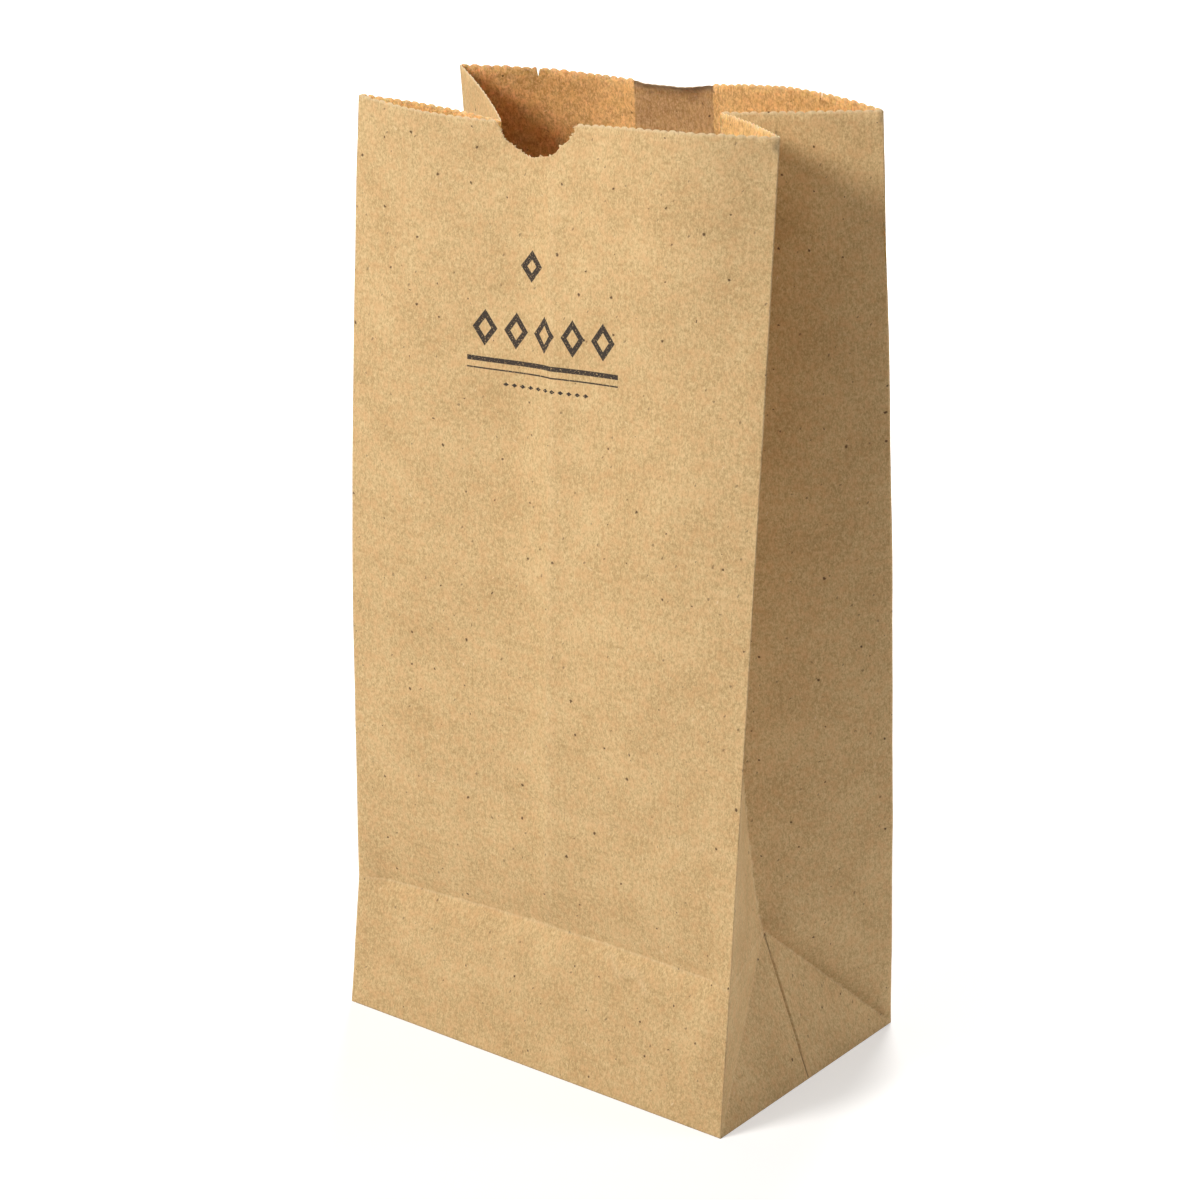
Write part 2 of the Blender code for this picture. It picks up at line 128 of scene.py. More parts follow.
# Creases and dents of a bag that lay folded flat, in millimetres. A crease is its flat points, how high it
# stands off the panel, how wide it is on either side and how far it is rubbed pale
frontCreases = {
    "middle": {
        "points": ((78.5, 49.0), (80.0, 94.0), (79.4, 195.0), (77.6, 262.0), (76.5, 302.0)),
        "height": 1.7,
        "widths": (11.0, 4.5),
        "wearAndShade": 0.35,
    },
    "flatFold": {
        "points": ((0.3, 89.6), (20.3, 90.2), (84.3, 90.9), (155.2, 93.9)),
        "height": -0.55,
        "widths": (3.0, 4.0),
        "wearAndShade": 0.30,
    },
    "baseFold": {
        "points": ((0.0, 46.4), (155.6, 50.8)),
        "height": -3.4,
        "widths": (6.0, 14.0),
        "wearAndShade": 0.0,
    },
    "pucker": {
        "points": ((104.5, 47.4), (110.3, 41.6), (116.0, 45.6), (121.0, 40.6)),
        "height": 0.9,
        "widths": (2.0, 2.0),
        "wearAndShade": 0.8,
    },
}
# over what length a crease dies away at its tips, what is left of it there, and how far in from the
# panel's side edges and foot all creases and dents fade out
creaseEnds = {"length": 12.0, "least": 0.25, "sideFade": 9.0, "footFade": 14.0}
frontDents = (
    # across, up, half widths, turn in degrees, height
    (93.0, 276.0, 7.0, 30.0, -14.0, 0.55),
    (66.0, 262.0, 9.0, 34.0, 6.0, -0.35),
    (118.0, 196.0, 12.0, 44.0, 10.0, 0.45),
    (36.0, 150.0, 14.0, 50.0, -8.0, 0.4),
    (52.0, 64.0, 5.0, 16.0, 0.0, -0.4),
    (66.0, 62.0, 5.0, 15.0, 4.0, 0.35),
    (98.0, 66.0, 6.0, 15.0, -5.0, -0.35),
    (128.0, 70.0, 7.0, 18.0, 3.0, 0.3),
    (146.0, 26.0, 4.5, 22.0, -8.0, 1.1),
    (12.0, 60.0, 7.0, 9.0, 30.0, -0.5),
    (122.0, 236.0, 24.0, 32.0, -30.0, -2.4),
    (52.0, 195.0, 20.0, 34.0, -10.0, -1.2),
    (112.0, 140.0, 16.0, 30.0, 20.0, 1.2),
    (30.0, 128.0, 22.0, 18.0, 10.0, -1.1),
)

# The groove up the side's foot: its depth between bottom and top and in the rest, the rows of points beside
# it, and the painted shade on its floor, a wear-and-shade value below nought
sideGroove = {
    "depth": 3.8,
    "bottom": 7.0,
    "top": 42.0,
    "rest": 0.25,
    "fade": 6.0,
    "rows": (0.5, 1.05),
    "shade": -1.0,
}
# The swelling along the slanted fold at the side's foot, and the share of the fold that it runs along
sideRidge = {"height": 1.3, "width": 5.0, "edgeFade": 2.5, "span": (-0.1, 1.06), "tipFade": 0.12}
# The seam's top bends in between two places across the back, most of all at one place
seamCurl = {
    "from": 66.0,
    "to": 97.0,
    "fade": 5.0,
    "start": 312.2,
    "inward": 3.4,
    "even": 0.75,
    "dip": 0.45,
    "dipAt": 75.5,
    "dipWidth": 4.0,
}
# The fine unevenness of the whole sheet: wavelengths and heights, and how high up it fades in
crumple = {"waves": ((30.0, 0.26), (10.0, 0.07), (4.0, 0.022)), "footFade": 12.0}

# The folded base
baseFlaps = {"overlap": 22.0 * mm, "plies": 3, "margin": 2.0 * mm}


def foot(side, back):
    return Vector((side * bagSheet["width"] / 2, bagSheet["depth"] / 2 * (1 if back else -1), 0.0))


def between(value, low, high):
    return min(max(value, low), high)


def waves(amounts, a):
    return sum(amount * math.sin((k + 1) * math.pi * a) for k, amount in enumerate(amounts))


def crest(a):
    return 1 - abs(2 * a - 1) ** bagSheet["crestFullness"]


def outward(start, end):
    across = end - start
    return Vector((across.y, -across.x, 0.0)).normalized()


def frontFoldEnd(side):
    height, shift = bagSheet["frontFoldHeight"][side], bagSheet["frontFoldShift"][side]
    return foot(side, False) + up * height + Vector(shift)


def frontMouthEnd(side):
    return foot(side, False) + up * bagSheet["height"] + Vector(bagSheet["frontMouthShift"][side])


def backMouthEnd(side):
    return foot(side, True) + up * bagSheet["height"] + Vector(bagSheet["backMouthShift"][side])


def sidePoint(side):
    x = side * (bagSheet["width"] / 2 - bagSheet["sidePointInset"])
    return Vector((x, 0.0, bagSheet["sidePointHeight"] - bagSheet["sidePointDrop"]))


def gussetMouth(side):
    front, back = frontMouthEnd(side), backMouthEnd(side)
    halfGap = (back - front).length / 2
    reach = math.sqrt(max((bagSheet["depth"] / 2) ** 2 - halfGap**2, 0.0))
    return (front + back) / 2 - outward(front, back) * side * reach - up * bagSheet["gussetMouthSag"][side]


# Each panel folds a flat place, across and up, into space


def frontPoint(u, t):
    a = u / bagSheet["width"]
    heights = bagSheet["frontFoldHeight"]
    foldHeight = heights[left] * (1 - a) + heights[right] * a
    ends = frontFoldEnd(left), frontFoldEnd(right)
    fold = ends[0].lerp(ends[1], a) - outward(*ends) * bagSheet["frontFoldHollow"] * crest(a)
    if t <= foldHeight:
        return foot(left, False).lerp(foot(right, False), a).lerp(fold, t / foldHeight)
    corners = frontMouthEnd(left), frontMouthEnd(right)
    swell = bagSheet["frontMouthCrest"] * crest(a) + waves(bagSheet["frontMouthWaves"], a)
    drop = bagSheet["frontMouthDip"] * crest(a) + bagSheet["frontMouthTilt"] * math.sin(2 * math.pi * a)
    mouth = corners[0].lerp(corners[1], a) + outward(*corners) * swell - up * drop
    rise = (t - foldHeight) / (bagSheet["height"] - foldHeight)
    bows = bagSheet["frontEdgeBow"]
    bow = Vector(bows[left]).lerp(Vector(bows[right]), a).to_3d()
    return fold.lerp(mouth, rise) + bow * math.sin(math.pi * rise)


def backPoint(u, t):
    a = u / bagSheet["width"]
    corners = backMouthEnd(right), backMouthEnd(left)
    mouth = corners[0].lerp(corners[1], a) + outward(*corners) * waves(bagSheet["backMouthWaves"], a)
    mouth += up * waves(bagSheet["backMouthRises"], a)
    rise = t / bagSheet["height"]
    bows = bagSheet["backEdgeBow"]
    bow = Vector(bows[right]).lerp(Vector(bows[left]), a).to_3d()
    flat = foot(right, True).lerp(foot(left, True), a).lerp(mouth, rise) + bow * math.sin(math.pi * rise)
    return flat + outward(*corners) * seamLift(u) * min(t / meshing["plyStep"], 1.0)


def lowerSidePoint(side, v, t):
    half = 1 - t / bagSheet["sidePointHeight"]
    if half < 1e-9:
        return sidePoint(side)
    across = 0.5 + (v - bagSheet["depth"] / 2) / (bagSheet["depth"] * half)
    return sidePoint(side).lerp(foot(side, False).lerp(foot(side, True), across), half)


def frontCornerPoint(side, v, t):
    along = v / (bagSheet["depth"] / 2)
    low = bagSheet["sidePointHeight"] * along
    high = bagSheet["frontFoldHeight"][side] * (1 - along) + low
    part = (t - low) / (high - low) if high - low > 1e-9 else 0.0
    ridge = foot(side, False).lerp(sidePoint(side), along)
    return ridge.lerp(frontFoldEnd(side).lerp(sidePoint(side), along), part)


def gussetTuck(side, rise):
    inward = bagSheet["gussetTuck"] * math.sin(math.pi * max(rise, 0.0) ** bagSheet["gussetTuckRise"])
    return Vector((-side * inward, 0.0, 0.0))


def frontGussetPoint(side, v, t):
    along = v / (bagSheet["depth"] / 2)
    low = bagSheet["frontFoldHeight"][side] * (1 - along) + bagSheet["sidePointHeight"] * along
    rise = (t - low) / (bagSheet["height"] - low)
    bottom = frontFoldEnd(side).lerp(sidePoint(side), along)
    corner, inner = frontMouthEnd(side), gussetMouth(side)
    belly = outward(corner, inner) * side * bagSheet["frontGussetBelly"][side]
    belly += up * bagSheet["frontGussetArch"][side]
    bow = Vector(bagSheet["frontEdgeBow"][side]).to_3d() * (1 - along) * math.sin(math.pi * rise)
    mouth = corner.lerp(inner, along) + belly * math.sin(math.pi * along)
    return bottom.lerp(mouth, rise) + bow + gussetTuck(side, rise) * along


def gussetFold(side, t):
    pointHeight = bagSheet["sidePointHeight"]
    if t <= pointHeight:
        return foot(side, True).lerp(sidePoint(side), t / pointHeight)
    rise = (t - pointHeight) / (bagSheet["height"] - pointHeight)
    return sidePoint(side).lerp(gussetMouth(side), rise) + gussetTuck(side, rise)


def backGussetPoint(side, v, t):
    depth = bagSheet["depth"]
    start = depth - depth / 2 * min(t / bagSheet["sidePointHeight"], 1.0)
    along = (v - start) / (depth - start) if depth - start > 1e-9 else 0.0
    inner, corner = gussetFold(side, t), backPoint(0.0 if side == right else bagSheet["width"], t)
    belly = outward(inner, corner) * side if (corner - inner).length > 1e-6 else Vector((0.0, 0.0, 0.0))
    swell = bagSheet["gussetBelly"][side] * math.sin(math.pi * along) * (t / bagSheet["height"]) ** 2
    return inner.lerp(corner, along) + belly * swell


def seamLift(u):
    across = (u - bagSheet["width"] / 2 - bagSheet["seamOffset"]) / bagSheet["seamOverlap"] + 0.5
    return bagSheet["thickness"] * across if 0.0 < across < 1.0 - 1e-6 else 0.0


def seamPlies(u, t):
    fromMiddle = abs(u - bagSheet["width"] / 2 - bagSheet["seamOffset"])
    return 2 if fromMiddle < (bagSheet["seamOverlap"] - meshing["plyStep"]) / 2 else 1


def seamLines():
    middle = bagSheet["width"] / 2 + bagSheet["seamOffset"]
    near, far = middle - bagSheet["seamOverlap"] / 2, middle + bagSheet["seamOverlap"] / 2
    return near, near + meshing["plyStep"], far - meshing["plyStep"], far


# Flat outlines. A chain runs from its start up to but not including its end


def chain(start, end, spacing=None):
    start, end = Vector(start), Vector(end)
    count = max(round((end - start).length / (spacing or meshing["spacing"])), 1)
    return [start.lerp(end, k / count) for k in range(count)]


def backwards(start, end):
    return (chain(start, end) + [Vector(end)])[:0:-1]


def cutLevel():
    return bagSheet["height"] - cutEdge["depth"]


def valley(u):
    return Vector((u, cutLevel()))


def softBand(value, low, high, fade):
    return between((value - low) / fade, 0.0, 1.0) * between((high - value) / fade, 0.0, 1.0)


def creaseLift(crease, place):
    nearest, height = math.inf, 0.0
    for a, b in zip(crease["points"], crease["points"][1:]):
        start, along = Vector(a), Vector(b) - Vector(a)
        gap = place - start
        part = between(gap.dot(along) / along.length_squared, 0.0, 1.0)
        away = gap - along * part
        if away.length < nearest:
            nearest = away.length
            width = crease["widths"][0 if along.cross(away) < 0 else 1]
            height = crease["height"] * math.exp(-nearest / width)
    ends = crease["points"][0], crease["points"][-1]
    tip = min((place - Vector(end)).length for end in ends)
    return height * min(tip / creaseEnds["length"] + creaseEnds["least"], 1.0)


def frontLift(u, t):
    place = Vector((u, t)) / mm
    total = sum(creaseLift(crease, place) for crease in frontCreases.values())
    for x, y, acrossHalf, upHalf, turn, height in frontDents:
        away = Matrix.Rotation(math.radians(-turn), 2) @ (place - Vector((x, y)))
        total += height * math.exp(-((away.x / acrossHalf) ** 2) - (away.y / upHalf) ** 2)
    beside = softBand(place.x, 0.0, bagSheet["width"] / mm, creaseEnds["sideFade"])
    return total * mm * beside * softBand(place.y, 0.0, math.inf, creaseEnds["footFade"])


def grooveLift(v, t):
    along = t / mm
    if abs(v - bagSheet["depth"] / 2) > meshing["foldRow"] / 10:
        return 0.0
    top, fade = sideGroove["top"], sideGroove["fade"]
    deep, shallow = (softBand(along, low, top, fade) for low in (sideGroove["bottom"], 0.0))
    return -(sideGroove["depth"] * deep + sideGroove["rest"] * shallow) * mm


def ridgeLift(v, t):
    heel, tip = Vector((bagSheet["depth"], 0.0)), Vector((bagSheet["depth"] / 2, bagSheet["sidePointHeight"]))
    gap, along = Vector((v, t)) - heel, tip - heel
    away = abs(gap.cross(along)) / along.length / mm / sideRidge["width"]
    part = gap.dot(along) / along.length_squared
    ends = softBand(v / mm, 0.0, bagSheet["depth"] / mm, sideRidge["edgeFade"])
    ends *= softBand(part, *sideRidge["span"], sideRidge["tipFade"])
    return sideRidge["height"] * away * math.exp(1 - away) * ends * mm


def curlLift(u, t):
    across, high = u / mm, t / mm
    bent = between((high - seamCurl["start"]) / (bagSheet["height"] / mm - seamCurl["start"]), 0.0, 1.0)
    dip = seamCurl["dip"] * math.exp(-(((across - seamCurl["dipAt"]) / seamCurl["dipWidth"]) ** 2))
    bent *= softBand(across, seamCurl["from"], seamCurl["to"], seamCurl["fade"])
    return -seamCurl["inward"] * bent * (seamCurl["even"] + dip) * mm


def torn(mouth, tears):
    for across, wide, deep in tears:
        cleared = wide * 0.8
        at = min(k for k, point in enumerate(mouth) if point.x < across + cleared)
        mouth = [point for point in mouth if abs(point.x - across) >= cleared]
        top = bagSheet["height"] - cutEdge["depth"] / 3
        cut = ((across + wide / 2, top), (across + wide * 0.1, top - deep), (across - wide / 2, top))
        mouth[at:at] = [Vector(point) for point in cut]
    return mouth


def toothed(start, end, depth=None):
    depth = depth or cutEdge["depth"]
    count = max(round(abs(end - start) / cutEdge["pitch"]), 1)
    pitch = (end - start) / count
    low, points = cutLevel(), []
    rise, fall = (1 - cutEdge["crestShare"]) / 2, (1 + cutEdge["crestShare"]) / 2
    rising, falling, shoulder = cutEdge["shoulders"]
    for k in range(count):
        at = start + (k + (rng.uniform(-1, 1) * cutEdge["pitchJitter"] if k else 0.0)) * pitch
        tall = depth * (1 - rng.random() * cutEdge["depthJitter"])
        shape = (
            (0.0, 0.0),
            (rise * rising, shoulder),
            (rise, 1.0),
            (fall, rng.uniform(0.9, 1.0)),
            (fall + rise * falling, shoulder),
        )
        points += [Vector((at + along * pitch, low + tall * share)) for along, share in shape]
    return points


def notch(middle):
    points = []
    sideways, downwards = cutEdge["notchBowl"]
    turns, phase = cutEdge["notchSwellTurns"]
    for k in range(1, cutEdge["notchTeeth"]):
        angle = math.pi * (k + rng.uniform(-1, 1) * cutEdge["notchJitter"]) / cutEdge["notchTeeth"]
        ragged = rng.random() ** 2 * cutEdge["notchRagged"] * (1.0 if k % 2 else cutEdge["notchEvenShare"])
        swell = cutEdge["notchSwell"] * math.sin(angle * turns + phase)
        grow = 1 - (ragged + swell) / cutEdge["notchDepth"]
        across = math.copysign(abs(math.cos(angle)) ** sideways, math.cos(angle))
        across *= cutEdge["notchWidth"] / 2 * grow
        down = (cutEdge["notchDepth"] - cutEdge["depth"]) * math.sin(angle) ** downwards * grow
        points.append(Vector((middle + across, cutLevel() - down)))
    return points


# A panel is its outline, where the mouth's points begin and end in it, inner lines, the function that folds
# it, the lift off it, its place on the sheet and the plies of paper in it


def mouthSpan(before, mouth):
    return len(before), len(before) + len(mouth)


def frontPanels():
    width, height = bagSheet["width"], cutLevel()
    low, high = bagSheet["frontFoldHeight"][left], bagSheet["frontFoldHeight"][right]
    fold = chain((0.0, low), (width, high))
    strip = chain((0.0, 0.0), (width, 0.0)) + chain((width, 0.0), (width, high))
    strip += backwards((0.0, low), (width, high)) + chain((0.0, low), (0.0, 0.0))
    middle, half = width / 2 + cutEdge["notchOffset"], cutEdge["notchWidth"] / 2
    sides = fold + chain((width, high), (width, height))
    rightTeeth = torn(toothed(width, middle + half), cutEdge["frontTears"]) + [valley(middle + half)]
    bite = notch(middle)
    leftTeeth = toothed(middle - half, 0.0)
    rest = backwards((0.0, low), (0.0, height))
    common = {"fold": frontPoint, "lift": frontLift}
    return [
        {"outline": strip, "lines": [creaseLine("pucker")], **common},
        {
            "outline": sides + rightTeeth + bite + leftTeeth + rest,
            "mouth": [mouthSpan(sides, rightTeeth), mouthSpan(sides + rightTeeth + bite, leftTeeth)],
            "lines": [creaseLine("middle"), creaseLine("flatFold")],
            **common,
        },
    ]


def creaseLine(name):
    crease = frontCreases[name]
    points = [Vector(point) * mm for point in crease["points"]]
    return {"points": points, "wearAndShade": crease["wearAndShade"]}


def backPanel():
    width, height = bagSheet["width"], cutLevel()
    sides = backFoot() + chain((width, 0.0), (width, height))
    stops, mouth = [width, *reversed(seamLines()), 0.0], []
    for k, (start, end) in enumerate(zip(stops, stops[1:])):
        overSeam = k == 2
        teeth = toothed(start, end, cutEdge["seamDepth"] if overSeam else None)
        mouth += teeth if abs(end - start) > cutEdge["pitch"] / 2 else [valley(start)]
    mouth = torn(mouth, cutEdge["backTears"])
    lines = [{"points": [(u, 0.0), (u, height)], "wearAndShade": lineWear["seam"]} for u in seamLines()]
    bend, (near, far) = seamCurl["start"] * mm, seamLines()[1:3]
    lines.append({"points": [(near + mm, bend), (far - mm, bend)]})
    return {
        "outline": sides + mouth + backwards((0.0, 0.0), (0.0, height)),
        "mouth": [mouthSpan(sides, mouth)],
        "lines": lines,
        "lift": curlLift,
        "fold": backPoint,
        "start": bagSheet["width"] + bagSheet["depth"],
        "plies": seamPlies,
    }


def backFoot():
    stops = [0.0, *seamLines(), bagSheet["width"]]
    return [point for start, end in zip(stops, stops[1:]) for point in chain((start, 0.0), (end, 0.0))]


def sidePanels(side):
    depth, half, rise = bagSheet["depth"], bagSheet["depth"] / 2, bagSheet["sidePointHeight"]
    point, fold, height = (half, rise), (0.0, bagSheet["frontFoldHeight"][side]), cutLevel()
    lower = chain((0.0, 0.0), (half, 0.0)) + chain((half, 0.0), (depth, 0.0))
    lower += chain((depth, 0.0), point) + backwards((0.0, 0.0), point)
    corner = chain((0.0, 0.0), point) + backwards(fold, point) + chain(fold, (0.0, 0.0))
    frontSides = chain(fold, point) + chain(point, (half, height))
    frontMouth = toothed(half, 0.0)
    front = frontSides + frontMouth + backwards(fold, (0.0, height))
    backSides = backwards((depth, 0.0), point)
    backSides = [Vector(point)] + backSides[1:] + chain((depth, 0.0), (depth, height))
    backMouth = toothed(depth, half)
    back = backSides + backMouth + backwards(point, (half, height))

    def panel(outline, foldedPoint, **more):
        # the left side's panels run the other way round the bag
        place = {"flip": True} if side == left else {"start": bagSheet["width"]}
        return {"outline": outline, "fold": lambda v, t: foldedPoint(side, v, t), **place, **more}

    return [
        panel(lower, lowerSidePoint, lines=grooveLines(), lift=grooveLift),
        panel(corner, frontCornerPoint),
        panel(front, frontGussetPoint, mouth=[mouthSpan(frontSides, frontMouth)]),
        panel(back, backGussetPoint, mouth=[mouthSpan(backSides, backMouth)], lift=ridgeLift),
    ]


def grooveLines():
    half, rise = bagSheet["depth"] / 2, bagSheet["sidePointHeight"]
    # the groove's middle line carries the painted shade of its floor
    groove = [{"points": [(half, 0.6 * mm), (half, rise - 1.2 * mm)], "wearAndShade": sideGroove["shade"]}]
    for beside in sideGroove["rows"]:
        # the rows end clear of the panel's foot and of its slanted edges
        ends = beside * mm * 0.8, rise - (1.2 + beside * 2.6) * mm
        groove += [{"points": [(half + way * beside * mm, end) for end in ends]} for way in (-1, 1)]
    return groove


# The base, laid out as seen from below


def insideFlap(x, y, sign):
    fromFreeEdge = y * sign + baseFlaps["overlap"] / 2
    fromSlantedEnd = (bagSheet["width"] - bagSheet["depth"]) / 2 - abs(x) + y * sign
    return min(fromFreeEdge, fromSlantedEnd) > -1e-7


def plyLevel(x, y):
    fromEdge = min(bagSheet["width"] / 2 - abs(x), bagSheet["depth"] / 2 - abs(y))
    if fromEdge < 1e-7 or insideFlap(x, y, -1):
        return 0.0
    return bagSheet["thickness"] * (1 if insideFlap(x, y, 1) else 2)


def plyLines():
    x, y = bagSheet["width"] / 2 - baseFlaps["margin"], bagSheet["depth"] / 2 - baseFlaps["margin"]
    middle, lap = (bagSheet["width"] - bagSheet["depth"]) / 2, baseFlaps["overlap"] / 2
    step, drop = meshing["plyStep"] * math.sqrt(2), meshing["plyStep"]
    under = (middle + step / 2, step / 2)
    free = middle - lap + step - drop
    chains = [
        [(-x, y), (x, y)],
        [(lap - middle, lap), (middle - lap, lap)],
        [(-free, lap + drop), (free, lap + drop)],
    ]
    for sign in (-1, 1):
        ends = [
            [(x, -y), (middle - lap, lap)],
            [(x, step - y), (middle + step, 0.0), under, (free, lap + drop)],
            [(x, y), under],
            [(x, y - step), (middle + step, 0.0)],
            [(x, -y), (x, step - y), (x, y - step), (x, y)],
        ]
        chains += [[(sign * px, py) for px, py in end] for end in ends]
    return [{"points": [(px, -py) for px, py in line], "wearAndShade": lineWear["ply"]} for line in chains]


def basePanel():
    x, y = bagSheet["width"] / 2, bagSheet["depth"] / 2
    back = [Vector((x - point.x, -y)) for point in backFoot() + [Vector((2 * x, 0.0))]]
    front = [Vector((x - point.x, y)) for point in chain((0.0, 0.0), (2 * x, 0.0))]
    rightEdge = chain((x, -y), (x, 0.0)) + chain((x, 0.0), (x, y))
    leftEdge = chain((-x, y), (-x, 0.0)) + chain((-x, 0.0), (-x, -y))
    return {
        "outline": back[::-1][:-1] + rightEdge + front + leftEdge,
        "lines": plyLines(),
        "fold": lambda x, down: Vector((x, -down, plyLevel(x, -down))),
        "spacing": meshing["baseSpacing"],
        "start": bagSheet["width"] / 2,
        "drop": -bagSheet["depth"],
    }


# Laying a panel's points out, folding them up and joining the panels


def measured(points, starts, ends):
    along = ends - starts
    gap = points[:, None] - starts
    part = np.clip((gap * along).sum(2) / (along**2).sum(1), 0.0, 1.0)
    return np.sqrt(((gap - along * part[..., None]) ** 2).sum(2)).min(1)


def within(points, starts, ends):
    x, y = points[:, None, 0], points[:, None, 1]
    crosses = (starts[:, 1] > y) != (ends[:, 1] > y)
    slope = (ends[:, 0] - starts[:, 0]) / np.where(starts[:, 1] == ends[:, 1], 1.0, ends[:, 1] - starts[:, 1])
    return (crosses & (x < starts[:, 0] + (y - starts[:, 1]) * slope)).sum(1) % 2 == 1


def clearOf(pairs, points, gap):
    if not pairs or not len(points):
        return points
    starts, ends = (np.array([pair[k] for pair in pairs]) for k in (0, 1))
    return points[measured(points, starts, ends) > gap]


def innerPoints(outline, pairs, spacing):
    starts, ends = np.array(outline), np.roll(np.array(outline), -1, 0)
    low, high = starts.min(0), starts.max(0)
    rows = np.arange(low[1] + spacing / 2, high[1], spacing * meshing["rowShare"])
    across = np.arange(low[0], high[0] + spacing, spacing)
    grid = np.array([(x + spacing / 2 * (k % 2), y) for k, y in enumerate(rows) for x in across])
    kept, gap = grid[within(grid, starts, ends)], spacing * meshing["clearShare"]
    return clearOf(pairs, kept[measured(kept, starts, ends) > gap], gap)


def foldRows(outline, mouth, pairs):
    starts, ends = np.array(outline), np.roll(np.array(outline), -1, 0)
    rows = []
    for k, point in enumerate(outline):
        if any(first - 1 <= k <= last for first, last in mouth):
            continue
        along = (outline[(k + 1) % len(outline)] - outline[k - 1]).normalized()
        rows.append(point + Vector((-along.y, along.x)) * meshing["foldRow"])
    rows = np.array(rows)
    rows = rows[within(rows, starts, ends)]
    rows = rows[measured(rows, starts, ends) > meshing["foldRow"] * meshing["foldRowClearShare"]]
    return clearOf(pairs, rows, meshing["foldRow"] * meshing["clearShare"])


def addPanel(skin, panel):
    outline, lines, mouth = panel["outline"], panel.get("lines", []), panel.get("mouth", [])
    spacing = panel.get("spacing", meshing["spacing"])
    plies, lift = panel.get("plies", lambda u, t: 1), panel.get("lift", lambda u, t: 0.0)
    flat, edges, pairs = [Vector(point) for point in outline], [], []
    wearsAndShades = [lineWear["fold"]] * len(outline)
    for first, last in mouth:
        wearsAndShades[first:last] = [lineWear["mouth"]] * (last - first)
    for line in lines:
        stops = [Vector(point) for point in line["points"]]
        points = [point for start, end in zip(stops, stops[1:]) for point in chain(start, end, spacing)]
        points.append(stops[-1])
        edges += [(len(flat) + k, len(flat) + k + 1) for k in range(len(points) - 1)]
        flat += points
        wearsAndShades += [line.get("wearAndShade", 0.0)] * len(points)
        pairs += list(zip(stops, stops[1:]))
    extra = [Vector(point) for point in innerPoints(outline, pairs, spacing)]
    extra += [Vector(point) for point in foldRows(outline, mouth, pairs)]
    flat, wearsAndShades = flat + extra, wearsAndShades + [0.0] * len(extra)
    whole = [list(range(len(outline)))]
    places, _, triangles, origins, *_ = geometry.delaunay_2d_cdt(flat, edges, whole, 1, 1e-7)
    layers = skin.verts.layers
    sheetLayer = skin.loops.layers.uv["sheet"]
    corners, sheetPlaces = [], {}
    for place, origin in zip(places, origins):
        vertex = skin.verts.new(panel["fold"](place.x, place.y))
        vertex[layers.int["plies"]] = plies(place.x, place.y)
        vertex[layers.float["lift"]] = lift(place.x, place.y)
        vertex[layers.float["wearAndShade"]] = max((wearsAndShades[k] for k in origin), default=0.0)
        corners.append(vertex)
        across = -place.x if panel.get("flip") else panel.get("start", 0.0) + place.x
        sheetPlaces[vertex] = (across, place.y + panel.get("drop", 0.0))
    for triangle in triangles:
        order = list(reversed(triangle)) if panel.get("flip") else triangle
        face = skin.faces.new([corners[k] for k in order])
        for loop in face.loops:
            loop[sheetLayer].uv = sheetPlaces[loop.vert]


def wrinkle(skin):
    skin.normal_update()
    liftLayer = skin.verts.layers.float["lift"]
    moves = []
    for vertex in skin.verts:
        lift = vertex[liftLayer]
        fade = min(vertex.co.z / (crumple["footFade"] * mm), 1.0)
        for length, height in crumple["waves"]:
            lift += noise.noise(vertex.co / (length * mm)) * height * mm * fade
        moves.append(vertex.normal * lift)
    for vertex, move in zip(skin.verts, moves):
        vertex.co += move


def offsetInward(vertex, plies):
    normals, depths = [], []
    for face in vertex.link_faces:
        below = face.normal.z < meshing["downward"]
        depth = bagSheet["thickness"] * plies
        if below:
            depth = baseFlaps["plies"] * bagSheet["thickness"] - vertex.co.z
        normals.append(-(Vector((0.0, 0.0, -1.0)) if below else face.normal))
        depths.append(depth)
    moved = np.linalg.lstsq(np.array(normals), np.array(depths), rcond=meshing["sameNormal"])[0]
    return vertex.co + Vector(moved)


def thicken(skin):
    plyLayer, sheetLayer = skin.verts.layers.int["plies"], skin.loops.layers.uv["sheet"]
    skin.normal_update()
    outerFaces = list(skin.faces)
    rim = [edge for edge in skin.edges if edge.is_boundary]
    wearAndShadeLayer = skin.verts.layers.float["wearAndShade"]
    inner = {}
    for vertex in list(skin.verts):
        inner[vertex] = skin.verts.new(offsetInward(vertex, vertex[plyLayer]))
        inner[vertex][wearAndShadeLayer] = vertex[wearAndShadeLayer]
    for face in outerFaces:
        places = [loop[sheetLayer].uv.copy() for loop in face.loops]
        twin = skin.faces.new([inner[vertex] for vertex in reversed(face.verts)])
        twin.material_index = 1
        for loop, place in zip(twin.loops, reversed(places)):
            loop[sheetLayer].uv = place
    for edge in rim:
        loop = edge.link_loops[0]
        start, end = loop.vert, loop.link_loop_next.vert
        places = loop[sheetLayer].uv.copy(), loop.link_loop_next[sheetLayer].uv.copy()
        face = skin.faces.new([end, start, inner[start], inner[end]])
        face.material_index = 2
        for corner, place in zip(face.loops, (places[1], places[0], places[0], places[1])):
            corner[sheetLayer].uv = place


